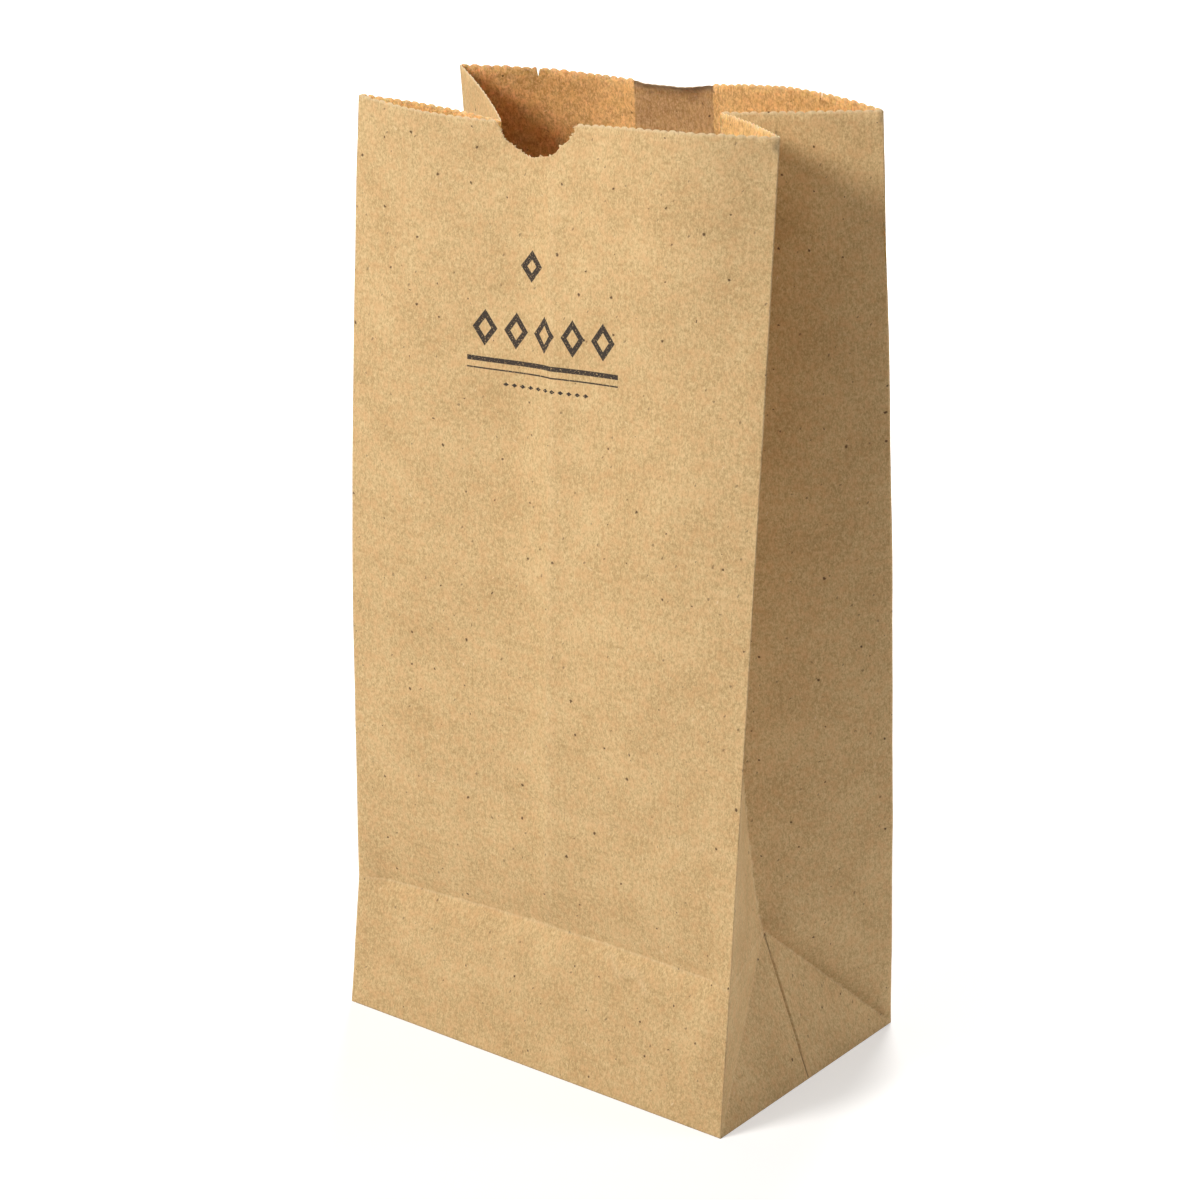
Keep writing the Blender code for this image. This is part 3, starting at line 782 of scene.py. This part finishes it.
def paperBag(materials):
    skin = bmesh.new()
    skin.verts.layers.int.new("plies")
    skin.verts.layers.float.new("lift")
    skin.verts.layers.float.new("wearAndShade")
    skin.loops.layers.uv.new("sheet")
    panels = frontPanels() + [backPanel()] + sidePanels(left) + sidePanels(right) + [basePanel()]
    for panel in panels:
        addPanel(skin, panel)
    bmesh.ops.remove_doubles(skin, verts=skin.verts, dist=meshing["weld"])
    wrinkle(skin)
    thicken(skin)
    for face in skin.faces:
        face.smooth = True
    mesh = bpy.data.meshes.new("paperBag")
    skin.to_mesh(mesh)
    print("bag mesh", len(mesh.vertices), "points", len(mesh.polygons), "faces")
    skin.free()
    for material in materials:
        mesh.materials.append(material)
    bag = placed("paperBagSheet", mesh)
    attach(bag, "root")
    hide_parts("paper_bag")
    return bag


# Camera, lamps and floor

viewpoint = {
    "azimuth": 37.28,
    "elevation": 20.19,
    "roll": 0.17,
    "place": (0.5986, -0.7981, 0.5168),
    "lens": 97.77,
    "sensor": 36.0,
}


def placed(name, data):
    thing = bpy.data.objects.new(name, data)
    bpy.context.scene.collection.objects.link(thing)
    return thing


def addCamera():
    camera = placed("camera", bpy.data.cameras.new("camera"))
    camera.data.lens = viewpoint["lens"]
    camera.data.sensor_fit = "HORIZONTAL"
    camera.data.sensor_width = viewpoint["sensor"]
    camera.data.clip_start = 0.01
    turns = (
        Matrix.Rotation(math.radians(viewpoint["azimuth"]), 4, "Z"),
        Matrix.Rotation(math.radians(90 - viewpoint["elevation"]), 4, "X"),
        Matrix.Rotation(math.radians(viewpoint["roll"]), 4, "Z"),
    )
    camera.matrix_world = Matrix.Translation(viewpoint["place"]) @ turns[0] @ turns[1] @ turns[2]
    bpy.context.scene.camera = camera


lamps = {
    "key": {
        "place": (-0.60, -1.48, 1.22),
        "aim": (0.0, 0.0, 0.16),
        "size": 0.6,
        "power": 31.2,
        "colour": (1.0, 0.985, 0.95),
    },
    "back": {
        "place": (1.45, 0.75, 0.45),
        "aim": (0.0, 0.0, 0.1),
        "size": 0.9,
        "power": 10.4,
        "colour": (1.0, 0.985, 0.96),
    },
    "top": {
        "place": (-0.55, 1.15, 1.15),
        "aim": (0.0, 0.0, 0.2),
        "size": 0.7,
        "power": 25.0,
        "colour": (1.0, 0.985, 0.96),
    },
    "high": {
        "place": (-0.25, -0.95, 1.9),
        "aim": (0.0, 0.0, 0.2),
        "size": 0.6,
        "power": 6.0,
        "colour": (1.0, 0.98, 0.94),
    },
}
surround = {
    "level": 0.08,
    "white": (1.0, 1.0, 1.0, 1.0),
    "floorColour": (0.62, 0.62, 0.62, 1.0),
    "floorRoughness": 0.9,
    "floorSize": 8.0,
    # how much the floor is lifted towards white for the camera, near the bag and far from it
    "floorLift": (0.5, 1.0),
    "floorFade": (0.25, 1.1),
}


def addLamps():
    for name, lamp in lamps.items():
        light = bpy.data.lights.new(name, "AREA")
        light.shape = "DISK"
        light.size = lamp["size"]
        light.energy = lamp["power"]
        light.color = lamp["colour"]
        holder = placed(name, light)
        holder.location = lamp["place"]
        towards = Vector(lamp["aim"]) - Vector(lamp["place"])
        holder.rotation_euler = towards.to_track_quat("-Z", "Y").to_euler()


def addSurround():
    world = bpy.data.worlds.new("studio")
    world.use_nodes = True
    nodes, links = world.node_tree.nodes, world.node_tree.links
    nodes.clear()
    rays = nodes.new("ShaderNodeLightPath")
    seen = nodes.new("ShaderNodeBackground")
    seen.inputs["Color"].default_value = surround["white"]
    seen.inputs["Strength"].default_value = 1.0
    light = nodes.new("ShaderNodeBackground")
    light.inputs["Color"].default_value = surround["white"]
    light.inputs["Strength"].default_value = surround["level"]
    mix = nodes.new("ShaderNodeMixShader")
    out = nodes.new("ShaderNodeOutputWorld")
    links.new(rays.outputs["Is Camera Ray"], mix.inputs[0])
    links.new(light.outputs[0], mix.inputs[1])
    links.new(seen.outputs[0], mix.inputs[2])
    links.new(mix.outputs[0], out.inputs[0])
    bpy.context.scene.world = world


def addFloor():
    half = surround["floorSize"] / 2
    mesh = bpy.data.meshes.new("floor")
    corners = [(-half, -half, 0), (half, -half, 0), (half, half, 0), (-half, half, 0)]
    mesh.from_pydata(corners, [], [(0, 1, 2, 3)])
    material = bpy.data.materials.new("paleFloor")
    material.use_nodes = True
    nodes, links = material.node_tree.nodes, material.node_tree.links
    shader = nodes["Principled BSDF"]
    shader.inputs["Base Color"].default_value = surround["floorColour"]
    shader.inputs["Roughness"].default_value = surround["floorRoughness"]
    place = nodes.new("ShaderNodeNewGeometry")
    away = nodes.new("ShaderNodeVectorMath")
    away.operation = "LENGTH"
    links.new(place.outputs["Position"], away.inputs[0])
    fade = nodes.new("ShaderNodeMapRange")
    fade.interpolation_type = "SMOOTHSTEP"
    links.new(away.outputs["Value"], fade.inputs["Value"])
    fade.inputs["From Min"].default_value, fade.inputs["From Max"].default_value = surround["floorFade"]
    fade.inputs["To Min"].default_value, fade.inputs["To Max"].default_value = surround["floorLift"]
    rays = nodes.new("ShaderNodeLightPath")
    lift = mathsOf(nodes, links)("MULTIPLY", rays.outputs["Is Camera Ray"], fade.outputs["Result"])
    shader.inputs["Emission Color"].default_value = surround["white"]
    links.new(lift, shader.inputs["Emission Strength"])
    mesh.materials.append(material)
    placed("floor", mesh)


# Kraft paper

# The colours of each face, the strength of its three grains, and the light that glows through to it
kraftLooks = {
    "outer": {
        "pale": (0.725, 0.522, 0.266, 1.0),
        "dark": (0.48, 0.31, 0.133, 1.0),
        "tint": (0.665, 0.366, 0.163, 1.0),
        "speckAndShade": (0.10, 0.048, 0.018, 1.0),
        "fleck": (0.86, 0.68, 0.43, 1.0),
        "seam": (0.94, 0.925, 0.92, 1.0),
        "cloud": 0.95,
        "fibre": 1.5,
        "fine": 2.2,
        "glow": 0.0,
    },
    # the inner face's paler, more orange colours are painted warm light, the light that bounces between the
    # walls and comes through the sheet
    "inner": {
        "pale": (0.85, 0.56, 0.24, 1.0),
        "dark": (0.48, 0.275, 0.098, 1.0),
        "tint": (0.71, 0.415, 0.14, 1.0),
        "speckAndShade": (0.10, 0.045, 0.015, 1.0),
        "fleck": (0.90, 0.66, 0.34, 1.0),
        # the inner seam's darkening is painted shade, the lesser light that comes through two plies
        "seam": (0.70, 0.67, 0.74, 1.0),
        "cloud": 1.1,
        "fibre": 2.0,
        "fine": 2.2,
        "glow": 1.0,
    },
    "cut": {
        "pale": (0.88, 0.73, 0.48, 1.0),
        "dark": (0.74, 0.56, 0.32, 1.0),
        "tint": (0.80, 0.62, 0.36, 1.0),
        "speckAndShade": (0.30, 0.18, 0.08, 1.0),
        "fleck": (0.90, 0.76, 0.52, 1.0),
        "seam": (0.70, 0.67, 0.74, 1.0),
        "cloud": 0.3,
        "fibre": 0.8,
        "fine": 0.8,
        "glow": 0.0,
    },
    "roughness": 0.86,
    "bump": 0.12 * mm,
    "bumpStrength": 0.4,
    "glowSpread": (1.0, 0.6, 0.3),
    "glowReach": 0.16 * mm,
    "tintShare": 0.42,
    "seamFade": 0.5,
    # how far folds and teeth rub pale, and the heights below the top between which the teeth do
    "foldRub": 0.35,
    "toothRub": 0.55,
    "toothBand": (1.3, 0.3),
    # how dark the painted shade in the side's groove is
    "grooveShade": 0.8,
    # the painted shade under the seam's curled top: its band's middle below the top, half height, softness and
    # cover
    "curlBand": (0.9, 1.3, 1.8),
    "curlCover": 0.75,
    "curlShade": (0.10, 0.055, 0.030, 1.0),
    # the painted shade along the seam's free edge on the outer face: half width, softness and cover of its
    # dark line
    "freeEdgeShade": (0.12, 0.3),
    "freeEdgeShadeCover": 0.6,
    "ink": (0.024, 0.017, 0.015, 1.0),
}

# Scale, detail and roughness of the noises in the pulp, per millimetre of sheet, and how they are used
pulpNoise = {
    "cloud": (0.06, 4.0, 0.62),
    "fibre": (0.8, 2.0, 0.6),
    "fine": (1.9, 2.0, 0.7),
    "hue": (0.24, 3.0, 0.65),
    "rub": (0.35, 3.0, 0.55),
    "inkWear": (1.6, 3.0, 0.7),
    "lengthwise": (1.0, 0.62, 1.0),
    "hueFrom": 0.4,
    "hueGain": 3.2,
    "fibreHeight": 0.7,
}

# Dark bits and pale fibres in the pulp: stretch and turn of the cells, cell size, share of the cells that
# hold one, radius, and how strongly it covers. Their shape: how finely and how far they wobble, the least
# size and how crisp the edge is
pulpBits = (
    {"stretch": 1.0, "turn": 0, "cell": 11.0, "share": 0.42, "radius": 0.5, "colour": "speckAndShade", "cover": 0.92},
    {"stretch": 1.6, "turn": 35, "cell": 5.2, "share": 0.34, "radius": 0.34, "colour": "speckAndShade", "cover": 0.55},
    {"stretch": 5.0, "turn": 20, "cell": 3.6, "share": 0.1, "radius": 0.17, "colour": "fleck", "cover": 0.55},
    {"stretch": 6.0, "turn": -55, "cell": 3.9, "share": 0.1, "radius": 0.15, "colour": "fleck", "cover": 0.5},
    {"stretch": 6.0, "turn": 75, "cell": 4.8, "share": 0.1, "radius": 0.15, "colour": "speckAndShade", "cover": 0.3},
)

bitShape = {"wobbleScale": 0.9, "wobble": (0.9, 0.9, 0.0), "least": 0.3, "crispness": 2.0}

# The plain printed band on the front, in millimetres on the sheet. A rule is where it starts and ends, its
# height and its thickness
printedBand = {
    "lozenge": {"centre": (68.5, 269.3), "half": (4.4, 5.2), "hole": 0.42},
    "row": {"from": 45.5, "pitch": 11.7, "count": 5, "up": 248.0, "half": (4.6, 6.0), "hole": 0.5},
    "rules": ((45.0, 104.0, 237.6, 1.6), (45.0, 104.0, 234.6, 0.5)),
    "dots": {"from": 58.0, "pitch": 3.2, "count": 11, "up": 230.2, "half": (1.1, 0.7)},
    "cover": 0.97,
    # the ink is missing in small spots, where the noise is above this
    "wornFrom": 0.74,
    "wornGain": 7.0,
}


def newGroup(name, vectors, numbers, results):
    group = bpy.data.node_groups.new(name, "ShaderNodeTree")
    for label in vectors:
        group.interface.new_socket(name=label, in_out="INPUT", socket_type="NodeSocketVector")
    for label, value in numbers.items():
        made = group.interface.new_socket(name=label, in_out="INPUT", socket_type="NodeSocketFloat")
        made.default_value = value
    for label in results:
        group.interface.new_socket(name=label, in_out="OUTPUT", socket_type="NodeSocketFloat")
    return group, group.nodes.new("NodeGroupInput"), group.nodes.new("NodeGroupOutput")


def mathsOf(nodes, links):
    def maths(operation, first, second=None, clamp=False):
        node = nodes.new("ShaderNodeMath")
        node.operation = operation
        node.use_clamp = clamp
        for slot, value in zip(node.inputs, (first, second)):
            if value is None:
                continue
            if isinstance(value, (int, float)):
                slot.default_value = value
            else:
                links.new(value, slot)
        return node.outputs[0]

    return maths


def scaledPlace(nodes, links, vector, scale):
    node = nodes.new("ShaderNodeVectorMath")
    node.operation = "MULTIPLY"
    node.inputs[1].default_value = scale
    links.new(vector, node.inputs[0])
    return node.outputs[0]


def noiseNode(nodes, links, vector, scale, detail, rough):
    node = nodes.new("ShaderNodeTexNoise")
    node.noise_dimensions = "2D"
    node.inputs["Scale"].default_value = scale
    node.inputs["Detail"].default_value = detail
    node.inputs["Roughness"].default_value = rough
    links.new(vector, node.inputs["Vector"])
    return node.outputs["Fac"]


def grainGroup():
    levels = {"Cloud": 0.3, "Fibre": 0.4, "Fine": 0.3}
    group, start, end = newGroup("kraftGrain", ["Place"], levels, ["Tone", "Tint", "Height"])
    nodes, links = group.nodes, group.links
    maths = mathsOf(nodes, links)
    place = start.outputs["Place"]
    upright = scaledPlace(nodes, links, place, pulpNoise["lengthwise"])
    cloud = noiseNode(nodes, links, place, *pulpNoise["cloud"])
    fibre = noiseNode(nodes, links, upright, *pulpNoise["fibre"])
    fine = noiseNode(nodes, links, upright, *pulpNoise["fine"])
    total = 0.5
    for value, amount in ((cloud, "Cloud"), (fibre, "Fibre"), (fine, "Fine")):
        scaled = maths("MULTIPLY", maths("SUBTRACT", value, 0.5), start.outputs[amount])
        total = maths("ADD", scaled, total)
    links.new(maths("MULTIPLY", total, 1.0, clamp=True), end.inputs["Tone"])
    hue = maths("SUBTRACT", noiseNode(nodes, links, place, *pulpNoise["hue"]), pulpNoise["hueFrom"])
    links.new(maths("MULTIPLY", hue, pulpNoise["hueGain"], clamp=True), end.inputs["Tint"])
    height = maths("ADD", maths("MULTIPLY", fibre, pulpNoise["fibreHeight"]), fine)
    links.new(height, end.inputs["Height"])
    return group


def bitsGroup():
    sizes = {"Turn": 0.0, "Cell": 6.0, "Share": 0.2, "Radius": 0.4}
    group, start, end = newGroup("pulpBits", ["Place", "Stretch"], sizes, ["Mask"])
    nodes, links = group.nodes, group.links
    maths = mathsOf(nodes, links)
    wobble = nodes.new("ShaderNodeTexNoise")
    wobble.noise_dimensions = "2D"
    wobble.inputs["Scale"].default_value = bitShape["wobbleScale"]
    links.new(start.outputs["Place"], wobble.inputs["Vector"])
    shift = nodes.new("ShaderNodeVectorMath")
    shift.operation = "MULTIPLY_ADD"
    links.new(wobble.outputs["Color"], shift.inputs[0])
    shift.inputs[1].default_value = bitShape["wobble"]
    links.new(start.outputs["Place"], shift.inputs[2])
    turned = nodes.new("ShaderNodeVectorRotate")
    turned.rotation_type = "Z_AXIS"
    links.new(shift.outputs[0], turned.inputs["Vector"])
    links.new(start.outputs["Turn"], turned.inputs["Angle"])
    squeezed = nodes.new("ShaderNodeVectorMath")
    squeezed.operation = "DIVIDE"
    links.new(turned.outputs[0], squeezed.inputs[0])
    links.new(start.outputs["Stretch"], squeezed.inputs[1])
    cells = nodes.new("ShaderNodeTexVoronoi")
    cells.voronoi_dimensions = "2D"
    links.new(squeezed.outputs[0], cells.inputs["Vector"])
    links.new(maths("DIVIDE", 1.0, start.outputs["Cell"]), cells.inputs["Scale"])
    parts = nodes.new("ShaderNodeSeparateColor")
    links.new(cells.outputs["Color"], parts.inputs["Color"])
    away = maths("MULTIPLY", cells.outputs["Distance"], start.outputs["Cell"])
    size = maths("MULTIPLY", maths("ADD", parts.outputs[1], bitShape["least"]), start.outputs["Radius"])
    near = maths("DIVIDE", maths("SUBTRACT", size, away), size)
    edge = maths("MULTIPLY", near, bitShape["crispness"], clamp=True)
    chosen = maths("LESS_THAN", parts.outputs[0], start.outputs["Share"])
    links.new(maths("MULTIPLY", edge, chosen), end.inputs["Mask"])
    return group


def bandMask(maths, value, middle, half, soft=0.12):
    away = maths("ABSOLUTE", maths("SUBTRACT", value, middle))
    return maths("DIVIDE", maths("SUBTRACT", half + soft / 2, away), soft, clamp=True)


def lozengeMask(maths, x, y, half, hole):
    across = maths("DIVIDE", maths("ABSOLUTE", x), half[0])
    upward = maths("DIVIDE", maths("ABSOLUTE", y), half[1])
    return bandMask(maths, maths("ADD", across, upward), (1 + hole) / 2, (1 - hole) / 2, 0.03)


def printGroup():
    group, start, end = newGroup("printedBand", ["Place"], {}, ["Mask"])
    nodes, links = group.nodes, group.links
    maths = mathsOf(nodes, links)
    parts = nodes.new("ShaderNodeSeparateXYZ")
    links.new(start.outputs["Place"], parts.inputs[0])
    x, y = parts.outputs[0], parts.outputs[1]
    one = printedBand["lozenge"]
    fromCentre = (maths("SUBTRACT", value, middle) for value, middle in zip((x, y), one["centre"]))
    total = lozengeMask(maths, *fromCentre, one["half"], one["hole"])
    for row in (printedBand["row"], printedBand["dots"]):
        length = row["pitch"] * row["count"]
        wrapped = maths("FLOORED_MODULO", maths("SUBTRACT", x, row["from"]), row["pitch"])
        fromX, fromY = maths("SUBTRACT", wrapped, row["pitch"] / 2), maths("SUBTRACT", y, row["up"])
        # a hole below nought leaves the lozenge filled
        mask = lozengeMask(maths, fromX, fromY, row["half"], row.get("hole", -1.0))
        inRow = bandMask(maths, x, row["from"] + length / 2, length / 2)
        total = maths("MAXIMUM", total, maths("MULTIPLY", mask, inRow))
    for low, high, level, thick in printedBand["rules"]:
        across = bandMask(maths, x, (low + high) / 2, (high - low) / 2)
        mask = maths("MULTIPLY", across, bandMask(maths, y, level, thick / 2))
        total = maths("MAXIMUM", total, mask)
    worn = noiseNode(nodes, links, start.outputs["Place"], *pulpNoise["inkWear"])
    held = maths("SUBTRACT", printedBand["wornFrom"], worn)
    held = maths("MULTIPLY", held, printedBand["wornGain"], clamp=True)
    links.new(maths("MULTIPLY", total, held), end.inputs["Mask"])
    return group


def kraftMaterial(name, looks, groups):
    material = bpy.data.materials.new(name)
    material.use_nodes = True
    nodes, links = material.node_tree.nodes, material.node_tree.links
    maths = mathsOf(nodes, links)
    shader = nodes["Principled BSDF"]
    shader.inputs["Roughness"].default_value = kraftLooks["roughness"]
    # a little light comes through the thin sheet to its inner face, warmer than what falls on it
    shader.inputs["Subsurface Weight"].default_value = looks["glow"]
    shader.inputs["Subsurface Radius"].default_value = kraftLooks["glowSpread"]
    shader.inputs["Subsurface Scale"].default_value = kraftLooks["glowReach"]
    sheet = nodes.new("ShaderNodeUVMap")
    sheet.uv_map = "sheet"
    place = scaledPlace(nodes, links, sheet.outputs["UV"], (1 / mm, 1 / mm, 0.0))
    grain = nodes.new("ShaderNodeGroup")
    grain.node_tree = groups["grain"]
    links.new(place, grain.inputs["Place"])
    for key in ("Cloud", "Fibre", "Fine"):
        grain.inputs[key].default_value = looks[key.lower()]
    colour = mixColour(nodes, links, grain.outputs["Tone"], looks["dark"], looks["pale"])
    tinted = maths("MULTIPLY", grain.outputs["Tint"], kraftLooks["tintShare"])
    colour = mixColour(nodes, links, tinted, colour, looks["tint"])
    for bit in pulpBits:
        mask = nodes.new("ShaderNodeGroup")
        mask.node_tree = groups["bits"]
        links.new(place, mask.inputs["Place"])
        mask.inputs["Stretch"].default_value = (1.0, bit["stretch"], 1.0)
        mask.inputs["Turn"].default_value = math.radians(bit["turn"])
        for key in ("Cell", "Share", "Radius"):
            mask.inputs[key].default_value = bit[key.lower()]
        cover = maths("MULTIPLY", mask.outputs["Mask"], bit["cover"])
        colour = mixColour(nodes, links, cover, colour, looks[bit["colour"]])
    # folds rub paler, and so do the cut teeth
    worn = nodes.new("ShaderNodeAttribute")
    worn.attribute_name = "wearAndShade"
    parts = nodes.new("ShaderNodeSeparateXYZ")
    links.new(place, parts.inputs[0])
    teeth = nodes.new("ShaderNodeMapRange")
    links.new(parts.outputs[1], teeth.inputs["Value"])
    top = bagSheet["height"] / mm
    for edge, below in zip(("From Min", "From Max"), kraftLooks["toothBand"]):
        teeth.inputs[edge].default_value = top - below
    patchy = noiseNode(nodes, links, place, *pulpNoise["rub"])
    rubbed = maths("MULTIPLY", maths("MULTIPLY", worn.outputs["Fac"], patchy), kraftLooks["foldRub"])
    rubbed = maths("MAXIMUM", rubbed, maths("MULTIPLY", teeth.outputs["Result"], kraftLooks["toothRub"]))
    colour = mixColour(nodes, links, rubbed, colour, looks["fleck"])
    # painted shade on the floor of the side's pressed groove: its wear-and-shade value is below nought
    grooveShadeMask = maths("MULTIPLY", worn.outputs["Fac"], -kraftLooks["grooveShade"], clamp=True)
    colour = mixColour(nodes, links, grooveShadeMask, colour, looks["speckAndShade"])
    # the seam is darker: a slight glue tone on the outer face, and on the inner face and cut edge painted
    # shade for the lesser light that comes through two plies
    backStart = bagSheet["width"] + bagSheet["depth"]
    near, far = ((backStart + line) / mm for line in (seamLines()[0], seamLines()[-1]))
    strip = bandMask(maths, parts.outputs[0], (near + far) / 2, (far - near) / 2, kraftLooks["seamFade"])
    seamGlueAndShade = mixColour(nodes, links, strip, (1.0, 1.0, 1.0, 1.0), looks["seam"])
    colour = mixColour(nodes, links, 1.0, colour, seamGlueAndShade, "MULTIPLY")
    # painted shade under the seam's curled top, on the inner face
    if name == "kraftInnerFace":
        middle, half, soft = kraftLooks["curlBand"]
        curled = maths("MULTIPLY", bandMask(maths, parts.outputs[1], top - middle, half, soft), strip)
        curled = maths("MULTIPLY", curled, kraftLooks["curlCover"])
        colour = mixColour(nodes, links, curled, colour, kraftLooks["curlShade"])
    if name == "kraftOuterFace":
        # painted shade along the step where the outer ply's free edge ends
        freeEdgeShade = bandMask(maths, parts.outputs[0], far, *kraftLooks["freeEdgeShade"])
        freeEdgeShade = maths("MULTIPLY", freeEdgeShade, kraftLooks["freeEdgeShadeCover"])
        colour = mixColour(nodes, links, freeEdgeShade, colour, looks["speckAndShade"])
        band = nodes.new("ShaderNodeGroup")
        band.node_tree = groups["print"]
        links.new(place, band.inputs["Place"])
        cover = maths("MULTIPLY", band.outputs["Mask"], printedBand["cover"])
        colour = mixColour(nodes, links, cover, colour, kraftLooks["ink"])
    links.new(colour, shader.inputs["Base Color"])
    bump = nodes.new("ShaderNodeBump")
    bump.inputs["Strength"].default_value = kraftLooks["bumpStrength"]
    bump.inputs["Distance"].default_value = kraftLooks["bump"]
    links.new(grain.outputs["Height"], bump.inputs["Height"])
    links.new(bump.outputs["Normal"], shader.inputs["Normal"])
    return material


def mixColour(nodes, links, factor, first, second, blend="MIX"):
    node = nodes.new("ShaderNodeMix")
    node.data_type = "RGBA"
    node.blend_type = blend
    for slot, value in ((node.inputs["Factor"], factor), (node.inputs[6], first), (node.inputs[7], second)):
        if isinstance(value, (tuple, float)):
            slot.default_value = value
        else:
            links.new(value, slot)
    return node.outputs[2]


addCamera()
addLamps()
addSurround()
addFloor()
print("camera, lamps and floor are in")
groups = {"grain": grainGroup(), "bits": bitsGroup(), "print": printGroup()}
paper = [
    kraftMaterial("kraftOuterFace", kraftLooks["outer"], groups),
    kraftMaterial("kraftInnerFace", kraftLooks["inner"], groups),
    kraftMaterial("kraftCutEdge", kraftLooks["cut"], groups),
]
paperBag(paper)
print("paper bag is folded")
bpy.context.scene.view_settings.view_transform = "Standard"
